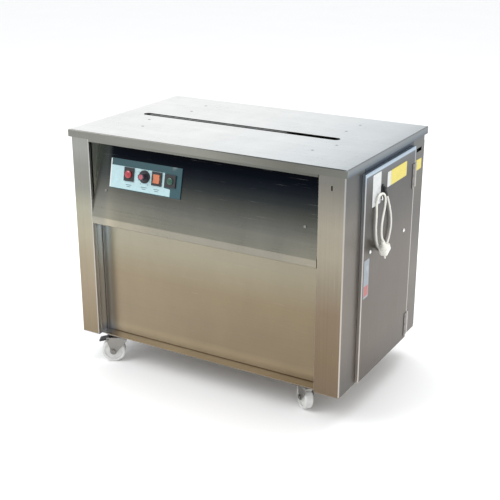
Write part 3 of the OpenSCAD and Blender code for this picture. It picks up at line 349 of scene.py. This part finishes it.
def enamel(name, colour, rough):
    """Sprayed paint with orange peel and a few chips down to primer."""
    s = Shader(name, Coat_Weight=0.25, Coat_Roughness=0.2)
    peel = s.noise(420, detail=2)
    chips = s.noise(60, detail=8, rough=0.75)
    body = s.mix(s.ramp(s.noise(8), (0.3, 0.0), (0.7, 1.0)), tuple(c * 0.85 for c in colour), colour)
    s.set("Base Color", s.mix(s.ramp(chips, (0.70, 0.0), (0.72, 1.0)), body, (0.32, 0.31, 0.30)))
    s.set("Roughness", s.math("ADD", s.math("MULTIPLY", chips, 0.3), rough - 0.12))
    s.bump(peel, 0.15, 0.0003)
    return s.mat


def rubber(name):
    """Black rubber, paler where dust has settled."""
    s = Shader(name)
    fine = s.noise(700, detail=4)
    dust = s.noise(40, detail=6)
    settled = s.ramp(dust, (0.5, 0.0), (0.8, 0.5))
    s.set("Base Color", s.mix(settled, (0.02, 0.02, 0.022), (0.10, 0.095, 0.09)))
    s.set("Roughness", s.ramp(dust, (0.2, 0.6), (0.8, 0.85)))
    s.bump(fine, 0.25, 0.0003)
    return s.mat


def dial_knob(name):
    """Dark moulded knob with a rose insert in the middle of its cap."""
    s = Sheet(name, Coat_Weight=0.3, Coat_Roughness=0.15)
    middle = FOOT + UP * DIAL[1] + Vector((DIAL[0], 0, 0))
    arm = s.nodes.new("ShaderNodeVectorMath")
    arm.operation = "SUBTRACT"
    s.links.new(s.coords, arm.inputs[0])
    arm.inputs[1].default_value = middle
    cross = s.nodes.new("ShaderNodeVectorMath")
    cross.operation = "CROSS_PRODUCT"
    s.links.new(arm.outputs[0], cross.inputs[0])
    cross.inputs[1].default_value = OUT
    reach = s.nodes.new("ShaderNodeVectorMath")
    reach.operation = "LENGTH"
    s.links.new(cross.outputs[0], reach.inputs[0])
    cloud = s.noise(60, detail=5)
    rim = s.step(reach.outputs["Value"], 0.0068, 0.0074)
    skirt = s.mix(s.ramp(cloud, (0.35, 0.0), (0.7, 1.0)), (0.020, 0.018, 0.028), (0.035, 0.030, 0.045))
    insert = s.mix(s.ramp(cloud, (0.35, 0.0), (0.7, 1.0)), (0.34, 0.07, 0.10), (0.46, 0.10, 0.14))
    s.set("Base Color", s.mix(rim, insert, skirt))
    s.set("Roughness", s.math("ADD", s.math("MULTIPLY", cloud, 0.22), 0.22))
    s.bump(s.noise(1400, detail=2), 0.25, 0.00015)
    return s.mat


def printed(name, colour):
    """Printed vinyl: slightly mottled ink, worn lighter here and there."""
    s = Shader(name, Coat_Weight=0.2, Coat_Roughness=0.2)
    ink = s.noise(120, detail=6, rough=0.7)
    wear = s.noise(22, detail=4)
    faded = tuple(c * 0.85 for c in colour)
    inked = s.mix(s.ramp(ink, (0.3, 0.0), (0.7, 1.0)), faded, colour)
    s.set("Base Color", s.mix(s.ramp(wear, (0.6, 0.0), (0.85, 0.35)), inked, (0.8, 0.8, 0.76)))
    s.set("Roughness", s.math("ADD", s.math("MULTIPLY", wear, 0.3), 0.23))
    s.bump(ink, 0.06, 0.0002)
    return s.mat


# ---------------------------------------------------------------- materials

MAT = {
    # Table: the top, from near white at the left to pale cool grey at the right, is a painted highlight;
    # the front and skirt tones, bluish and darker at the skirt's foot, and the bends darkening to the
    # right are the steel's tone with painted reflections and painted shade; the line along the top's
    # front fold is a painted shadow line.
    "table": sheet_metal(
        "stainless_table",
        front=xrun((-0.45, (143, 143, 137)), (0.0, (152, 152, 144)), (0.30, (114, 114, 107)),
                   (0.45, (124, 125, 119))),
        side=zrun((0.723, (92, 106, 118)), (0.734, (136, 145, 150)), (0.745, (146, 151, 155))),
        top=xrun((-0.45, (268, 268, 266)), (-0.10, (262, 263, 261)), (0.15, (248, 251, 251)),
                 (0.30, (230, 236, 238)), (0.40, (218, 225, 227)), (0.45, (196, 204, 207))),
        bend=xrun((-0.45, (140, 140, 136)), (-0.1, (112, 112, 107)), (0.1, (52, 54, 54)),
                  (0.44, (44, 47, 48)), (0.449, (130, 135, 138))),
        edges=((Y, -0.283, 0.004, Z),),
        grain="x", rough=0.30, streak=0.06, cloud=0.05),
    # Lower front panel and base pan: the tones up the panel are the steel's tone with painted
    # reflections, darker at the top edge under the fascia as painted shade; the bright foot and pan
    # ledge are painted light over the shade of the groove; the shade factor lifts the shaded strips
    # beside the left post, painted light, and darkens a little to the right, painted shade.
    "front": sheet_metal(
        "stainless_front",
        front=zrun((0.098, (192, 180, 162)), (0.111, (196, 184, 164)), (0.122, (198, 182, 154)),
                   (0.14, (186, 169, 142)), (0.20, (180, 164, 138)), (0.30, (182, 166, 139)),
                   (0.40, (194, 187, 164)), (0.44, (196, 190, 169)), (0.457, (160, 156, 142))),
        top=zrun((0.09, (226, 214, 192)), (0.11, (226, 214, 192))),
        shade=xrun((-0.382, (330, 352, 400)), (-0.364, (290, 308, 342)), (-0.35, (272, 272, 274)),
                   (-0.30, (255, 255, 255)), (0.37, (238, 234, 230))),
        grain="x", rough=0.34, streak=0.05, cloud=0.06),
    # Control panel: dark at the top and lighter downward, painted shade under the table top; the bright
    # cheek is painted light over its shade; the bend tones, laid over its left part through a wide line,
    # lighten the upper left as painted light; the shade factor lightens the left, painted light.
    "fascia": sheet_metal(
        "stainless_fascia",
        front=zrun((0.463, (182, 177, 162)), (0.484, (182, 177, 162)), (0.488, (166, 164, 151)),
                   (0.525, (154, 153, 144)), (0.555, (130, 130, 125)), (0.585, (104, 106, 101)),
                   (0.615, (72, 76, 76)), (0.645, (46, 51, 57)), (0.675, (26, 30, 38)),
                   (0.713, (24, 25, 28))),
        side=zrun((0.463, (190, 186, 172)), (0.60, (232, 231, 222)), (0.70, (246, 247, 242))),
        bend=zrun((0.463, (182, 177, 162)), (0.488, (166, 164, 151)), (0.525, (154, 153, 144)),
                  (0.555, (130, 130, 125)), (0.585, (107, 109, 104)), (0.615, (88, 92, 90)),
                  (0.65, (78, 83, 81)), (0.713, (74, 79, 77))),
        edges=((X, -0.400, 0.080, Y),),
        shade=xrun((-0.382, (350, 347, 334)), (-0.345, (316, 313, 304)), (-0.28, (274, 272, 266)),
                   (-0.1, (252, 252, 252)), (0.25, (250, 250, 250)), (0.366, (262, 260, 254))),
        grain="x", rough=0.30, streak=0.035, cloud=0.12),
    # Left post: the tones up the post are the steel's tone with painted reflections; the bends and the
    # line at its inner front edge are a painted highlight, and the wider line on its inner side lifts
    # the shaded strip beside the recess, painted light.
    "post_left": sheet_metal(
        "stainless_left_post",
        front=zrun((0.10, (160, 144, 120)), (0.24, (168, 153, 131)), (0.34, (172, 160, 138)),
                   (0.43, (184, 177, 155)), (0.51, (178, 176, 158)), (0.57, (152, 152, 143)),
                   (0.64, (154, 153, 148)), (0.69, (166, 167, 162))),
        side=zrun((0.10, (160, 156, 152)), (0.4, (158, 156, 152)), (0.7, (150, 152, 148))),
        bend=zrun((0.1, (214, 208, 200)), (0.7, (204, 204, 198))),
        edges=((X, -0.382, 0.003, Y), (X, -0.384, 0.012, X)),
        grain="z", rough=0.32),
    # Right post: the tones up the post are the steel's tone with painted reflections, its side darker as
    # painted shade; the bends and the lines at its front corner are a painted highlight.
    "post_right": sheet_metal(
        "stainless_right_post",
        front=zrun((0.10, (138, 121, 102)), (0.20, (139, 122, 100)), (0.34, (145, 128, 108)),
                   (0.42, (158, 147, 129)), (0.50, (173, 165, 147)), (0.58, (172, 165, 149)),
                   (0.64, (155, 150, 138)), (0.70, (134, 132, 125))),
        side=zrun((0.10, (118, 115, 110)), (0.18, (130, 123, 116)), (0.30, (136, 128, 119)),
                  (0.50, (132, 125, 116)), (0.59, (132, 126, 118)), (0.65, (108, 108, 104)),
                  (0.71, (98, 99, 98))),
        bend=zrun((0.1, (212, 202, 192)), (0.5, (208, 202, 192)), (0.7, (186, 186, 184))),
        edges=((X, 0.444, 0.004, Y), (Y, -0.277, 0.003, X)),
        grain="z", rough=0.32),
    # Top rails: the front tones, darker to the right, are the steel's tone with painted reflections; the
    # dark blue sides paint the shade in the gap above the door.
    "rail": sheet_metal(
        "stainless_rails",
        front=xrun((-0.4, (150, 150, 144)), (0.0, (134, 136, 128)), (0.4, (104, 105, 100))),
        side=zrun((0.70, (44, 56, 74)), (0.73, (70, 84, 100))),
        top=xrun((-0.4, (140, 140, 138)), (0.4, (140, 140, 138))),
        grain="x", rough=0.34),
    # Door: its main face takes the side tones, the steel's tone with painted reflections; its
    # front-looking returns, the pale blue top hem, the bends and the lines at its front, rear and top
    # rims are painted highlights.
    "door": sheet_metal(
        "stainless_door",
        front=zrun((0.10, (206, 196, 188)), (0.40, (200, 196, 192)), (0.69, (190, 200, 208))),
        side=zrun((0.10, (112, 104, 97)), (0.20, (124, 115, 105)), (0.38, (122, 113, 105)),
                  (0.48, (116, 110, 103)), (0.57, (98, 95, 91)), (0.64, (92, 91, 89)),
                  (0.68, (108, 109, 109)), (0.70, (122, 126, 130))),
        top=zrun((0.70, (210, 228, 242)), (0.71, (210, 228, 242))),
        bend=zrun((0.10, (226, 216, 206)), (0.40, (224, 218, 212)), (0.67, (216, 218, 220)),
                  (0.69, (196, 216, 236)), (0.71, (210, 230, 246))),
        edges=((Y, 0.180, 0.008, X), (Y, -0.176, 0.004, X), (Z, 0.706, 0.009, X)),
        grain="z", rough=0.34),
    # Rear posts: the tones are the steel's tone with painted reflections, and the bends a painted
    # highlight.
    "post_rear": sheet_metal(
        "stainless_rear_posts",
        front=zrun((0.10, (142, 136, 130)), (0.7, (134, 130, 124))),
        side=zrun((0.10, (126, 120, 114)), (0.30, (132, 126, 119)), (0.50, (108, 104, 99)),
                  (0.60, (122, 117, 106)), (0.71, (118, 120, 120))),
        bend=zrun((0.1, (180, 174, 168)), (0.7, (176, 174, 170))),
        grain="z", rough=0.34),
    # Side and rear panels: the tones are the steel's tone with painted reflections, the brighter tops
    # painted light and the bends a painted highlight.
    "cover": sheet_metal(
        "stainless_covers",
        front=zrun((0.10, (146, 138, 126)), (0.4, (160, 153, 142)), (0.70, (140, 139, 135))),
        side=zrun((0.10, (142, 134, 124)), (0.4, (152, 147, 138)), (0.70, (136, 135, 132))),
        top=zrun((0.68, (200, 205, 208)), (0.71, (200, 205, 208))),
        bend=zrun((0.1, (196, 190, 182)), (0.7, (196, 198, 196))),
        grain="z", rough=0.34),
    # Strap channel: lighter to the left, the steel's tone with a painted reflection.
    "channel": sheet_metal(
        "stainless_channel",
        front=xrun((-0.4, (176, 178, 178)), (0.13, (150, 152, 152))),
        top=xrun((-0.4, (176, 178, 178)), (0.13, (150, 152, 152))),
        grain="x", rough=0.4),
    "galvanised": galvanised("galvanised_sheet"),
    "bright": machined("plated_screws", 0.80, 0.22, grime=0.25),
    "dull": machined("stainless_screws", 0.30, 0.34, (1, 0.98, 0.93), 0.5),
    # Hinge leaves: the bright band across the leaves is a painted highlight, with darker tone either
    # side.
    "hinge": sheet_metal(
        "hinge_steel",
        front=(Y, [(0.176, tone(128, 124, 120)), (0.181, tone(215, 212, 206)),
                   (0.190, tone(205, 202, 196)), (0.196, tone(140, 136, 130))]),
        side=(Y, [(0.176, tone(136, 131, 126)), (0.181, tone(215, 212, 206)),
                  (0.190, tone(205, 202, 196)), (0.196, tone(140, 136, 130))]),
        grain="z", rough=0.3),
    "caster_steel": machined("darkened_steel", 0.16, 0.42, (1, 0.95, 0.88), 0.7),
    # Slide plate: near black, a dark steel plate made darker still to paint the shade in the slot under
    # the table top.
    "slot_shade_dark_steel": machined("dark_steel_slot_shade", 0.018, 0.40, (1, 1, 1.05), 0.5),
    "steel": machined("ground_steel", 0.60, 0.30),
    "zinc": machined("zinc_plate", 0.30, 0.34, (1, 0.96, 0.90), 0.7),
    "alu": machined("turned_aluminium", 0.75, 0.34),
    "brass": machined("heat_stained_blade", 0.55, 0.36, (1, 0.8, 0.45), 0.8),
    "casting": enamel("painted_casting", (0.12, 0.13, 0.14), 0.5),
    "motor": enamel("blue_enamel", (0.03, 0.10, 0.16), 0.38),
    "box": enamel("grey_enamel", (0.38, 0.39, 0.40), 0.45),
    "teal": printed("teal_film", (0.010, 0.060, 0.075)),
    "pale": printed("pale_film", (0.40, 0.57, 0.60)),
    "yellow": printed("yellow_label", (0.72, 0.60, 0.06)),
    "white_label": printed("white_label", (0.66, 0.68, 0.68)),
    "blue_label": printed("blue_grey_label", (0.25, 0.29, 0.33)),
    "red_mark": printed("red_mark", (0.42, 0.09, 0.08)),
    "ink": printed("dark_ink", (0.06, 0.10, 0.13)),
    "black": plastic("black_moulding", (0.015, 0.015, 0.018), 0.42),
    "red": plastic("red_button", (0.36, 0.02, 0.035), 0.25, coat=0.4),
    "knob": dial_knob("dial_knob"),
    "orange": plastic("orange_rocker", (0.46, 0.13, 0.045), 0.22, coat=0.4),
    "green": plastic("green_button", (0.005, 0.06, 0.035), 0.28, coat=0.3),
    "white": plastic("white_nylon", (0.68, 0.68, 0.66), 0.42, grain=500),
    "lead": plastic("white_pvc", (0.86, 0.85, 0.78), 0.38, grain=900),
    "reel": plastic("grey_reel", (0.10, 0.11, 0.13), 0.45, grain=600),
    "rubber": rubber("black_rubber"),
}

FINISH = {
    "table": ["table_top"],
    "front": ["lower_front_panel", "base_pan"],
    "fascia": ["control_panel"],
    "post_left": ["front_left_post"],
    "post_right": ["front_right_post"],
    "post_rear": ["rear_left_post", "rear_right_post"],
    "door": ["door_panel"],
    "cover": ["left_side_panel", "rear_panel"],
    "rail": ["top_rails"],
    "channel": ["strap_channel"],
    "slot_shade_dark_steel": ["slide_plate"],
    "galvanised": ["base_rails", "head_beams", "reel_brackets"],
    "bright": ["door_fittings"],
    "dull": ["screws"],
    "hinge": ["hinge_post_leaves", "hinge_door_leaves"],
    "caster_steel": ["caster_plates"],
    "steel": ["reel_spindle", "camshaft", "left_gripper", "right_gripper", "cutter_press",
              "pinch_arm", "reel_brake"],
    "zinc": ["caster_fork_front_left", "caster_fork_front_right", "caster_fork_rear_left",
             "caster_fork_rear_right"],
    "alu": ["motor_pulley", "gearbox_pulley"],
    "brass": ["heater_blade"],
    "casting": ["head_frame"],
    "motor": ["drive_motor", "gearbox"],
    "box": ["electrical_box"],
    "teal": ["control_plate"],
    "black": ["switch_bodies", "cord_outlet", "caster_pedal_front_left", "caster_pedal_front_right"],
    "red": ["red_button"],
    "knob": ["length_knob"],
    "orange": ["power_rocker"],
    "green": ["green_button"],
    "white": ["caster_wheel_front_left", "caster_wheel_front_right", "caster_wheel_rear_left",
              "caster_wheel_rear_right"],
    "lead": ["plug"],
    "reel": ["reel", "reel_front_flange"],
    "rubber": ["drive_belt", "feed_roller", "pinch_roller"],
}


def paint(obj, material):
    """One material in every slot."""
    if not obj.material_slots:
        obj.data.materials.append(material)
    for material_slot in obj.material_slots:
        material_slot.material = material


for finish, names in FINISH.items():
    for name in names:
        paint(NODES[name], MAT[finish])
paint(lead, MAT["lead"])

# ---------------------------------------------------------------- flat pieces


def thicken(bm, face, reach):
    """Grow a face into a thin solid."""
    grown = bmesh.ops.extrude_face_region(bm, geom=[face])
    moved = [g for g in grown["geom"] if isinstance(g, bmesh.types.BMVert)]
    bmesh.ops.translate(bm, verts=moved, vec=reach)


def sticker(name, at, u, v, outline, thickness, material, body):
    """A thin sheet: outline is in (u, v) from the point at; its face looks along u x v."""
    u, v = Vector(u), Vector(v)
    n = u.cross(v)
    mesh = bpy.data.meshes.new(name)
    bm = bmesh.new()
    base = [bm.verts.new(Vector(at) + u * a + v * b) for a, b in outline]
    thicken(bm, bm.faces.new(base), n * thickness)
    bmesh.ops.recalc_face_normals(bm, faces=bm.faces)
    bm.to_mesh(mesh)
    bm.free()
    obj = bpy.data.objects.new(name, mesh)
    bpy.context.scene.collection.objects.link(obj)
    paint(obj, material)
    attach(obj, body)


def rounded(x0, y0, x1, y1, r=0.003, steps=4):
    """Outline of a rectangle with rounded corners."""
    corners = [(x1 - r, y1 - r, 0), (x0 + r, y1 - r, 90), (x0 + r, y0 + r, 180), (x1 - r, y0 + r, 270)]
    points = []
    for cx, cy, start in corners:
        for k in range(steps + 1):
            a = math.radians(start + 90 * k / steps)
            points.append((cx + r * math.cos(a), cy + r * math.sin(a)))
    return points


door_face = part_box("door_panel")[1].x
post_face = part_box("rear_right_post")[1].x
TO_BACK, TO_TOP = (0, 1, 0), (0, 0, 1)
LABEL_T = 0.0003


def door_label(name, y0, z0, y1, z1, material, lift=0.0, thickness=LABEL_T):
    sticker(name, (door_face + lift, 0, 0), TO_BACK, TO_TOP, rounded(y0, z0, y1, z1), thickness,
            MAT[material], "door")


door_label("label_yellow_door", -0.005, 0.637, 0.110, 0.680, "yellow")
door_label("label_cream_door", -0.030, 0.637, -0.0055, 0.680, "white_label")
door_label("label_white_door", -0.130, 0.605, -0.075, 0.695, "white_label")
door_label("label_strip_door", -0.167, 0.352, -0.133, 0.464, "blue_label")
door_label("label_strip_mark", -0.163, 0.358, -0.137, 0.388, "red_mark", lift=LABEL_T, thickness=0.0002)
sticker("label_yellow_post", (post_face, 0, 0), TO_BACK, TO_TOP,
        rounded(0.203, 0.622, 0.257, 0.654), LABEL_T,
        MAT["yellow"], "cabinet")

# Film and generic marks on the control plate, drawn up the slope of the fascia.
PLATE_T = 0.003


def on_plate(name, outline, lift, thickness, material):
    """Outline in metres: across the machine, and up the slope from its fold."""
    sticker(name, FOOT + OUT * (PLATE_T + lift), (1, 0, 0), UP, outline, thickness, MAT[material],
            "cabinet")


# The pale film covers the plate's left and middle; a white border runs up its left edge.
FILM_LOW, FILM_TOP, PLATE_TOP = 0.098, 0.164, 0.183
FILM_X0, FILM_X1, FILM_STEP_X = -0.3215, -0.112, -0.134
BORDER_X = -0.325

film_outline = [(FILM_X0, FILM_LOW), (FILM_X1, FILM_LOW), (FILM_X1, 0.119), (FILM_STEP_X, 0.121),
                (FILM_STEP_X, FILM_TOP), (FILM_X0, FILM_TOP)]
border_outline = [(BORDER_X, FILM_LOW), (FILM_X0, FILM_LOW), (FILM_X0, PLATE_TOP), (BORDER_X, PLATE_TOP)]
on_plate("panel_film", film_outline, 0.0, 0.0002, "pale")
on_plate("panel_film_edge", border_outline, 0.0, 0.0003, "white_label")


def dial_marks():
    """Ticks round the dial and a short bar under each switch, as one printed piece."""
    bm = bmesh.new()

    def bar(cx, cy, length, width, angle):
        c, d = math.cos(angle), math.sin(angle)
        half, thin = length / 2, width / 2
        corners = [(-half, -thin), (half, -thin), (half, thin), (-half, thin)]
        base = FOOT + OUT * (PLATE_T + 0.0003)
        spots = [base + Vector((1, 0, 0)) * (cx + u * c - v * d) + UP * (cy + u * d + v * c)
                 for u, v in corners]
        thicken(bm, bm.faces.new([bm.verts.new(spot) for spot in spots]), OUT * 0.0001)

    for k in range(11):
        angle = math.radians(-60 + 30 * k)
        reach, length = (0.0235, 0.004) if k % 5 else (0.0245, 0.006)
        bar(DIAL[0] + reach * math.cos(angle), DIAL[1] + reach * math.sin(angle), length, 0.001, angle)
    for cx in (-0.257, DIAL[0], -0.159):
        for row, width in ((0.112, 0.020), (0.107, 0.013)):
            bar(cx, row, width, 0.0016, 0)
    bmesh.ops.recalc_face_normals(bm, faces=bm.faces)
    mesh = bpy.data.meshes.new("panel_marks")
    bm.to_mesh(mesh)
    bm.free()
    marks = bpy.data.objects.new("panel_marks", mesh)
    bpy.context.scene.collection.objects.link(marks)
    paint(marks, MAT["ink"])
    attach(marks, "cabinet")


dial_marks()

# ---------------------------------------------------------------- smooth shading

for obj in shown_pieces():
    if obj.type == "MESH":
        for polygon in obj.data.polygons:
            polygon.use_smooth = True
        modifier = obj.modifiers.new("corners", "EDGE_SPLIT")
        modifier.split_angle = math.radians(32)

# ---------------------------------------------------------------- floor and light


def stage_floor():
    mesh = bpy.data.meshes.new("floor")
    mesh.from_pydata([(-40, -40, 0), (40, -40, 0), (40, 40, 0), (-40, 40, 0)], [], [(0, 1, 2, 3)])
    floor = bpy.data.objects.new("floor", mesh)
    bpy.context.scene.collection.objects.link(floor)
    s = Shader("floor_paper", rough=0.9)
    s.set("Base Color", s.mix(s.noise(2.0), (0.90, 0.90, 0.90), (0.93, 0.93, 0.93)))
    paint(floor, s.mat)


def area_light(name, at, look, size, power):
    data = bpy.data.lights.new(name, "AREA")
    data.shape = "RECTANGLE"
    data.size, data.size_y = size
    data.energy = power
    light = bpy.data.objects.new(name, data)
    light.location = at
    light.rotation_euler = (Vector(look) - Vector(at)).to_track_quat("-Z", "Y").to_euler()
    bpy.context.scene.collection.objects.link(light)


stage_floor()
area_light("key", (-2.2, -2.6, 3.4), (0, 0, 0.5), (2.6, 2.6), 90)
area_light("fill", (3.4, -0.6, 2.0), (0.3, 0, 0.4), (2.4, 2.4), 12)
area_light("top", (0.2, 0.8, 3.6), (0, 0, 0.7), (3.0, 2.0), 60)
world = bpy.data.worlds.new("studio")
world.use_nodes = True
world.node_tree.nodes["Background"].inputs["Color"].default_value = (0.98, 0.99, 1.0, 1)
world.node_tree.nodes["Background"].inputs["Strength"].default_value = 1.05
bpy.context.scene.world = world
bpy.context.scene.view_settings.view_transform = "Standard"
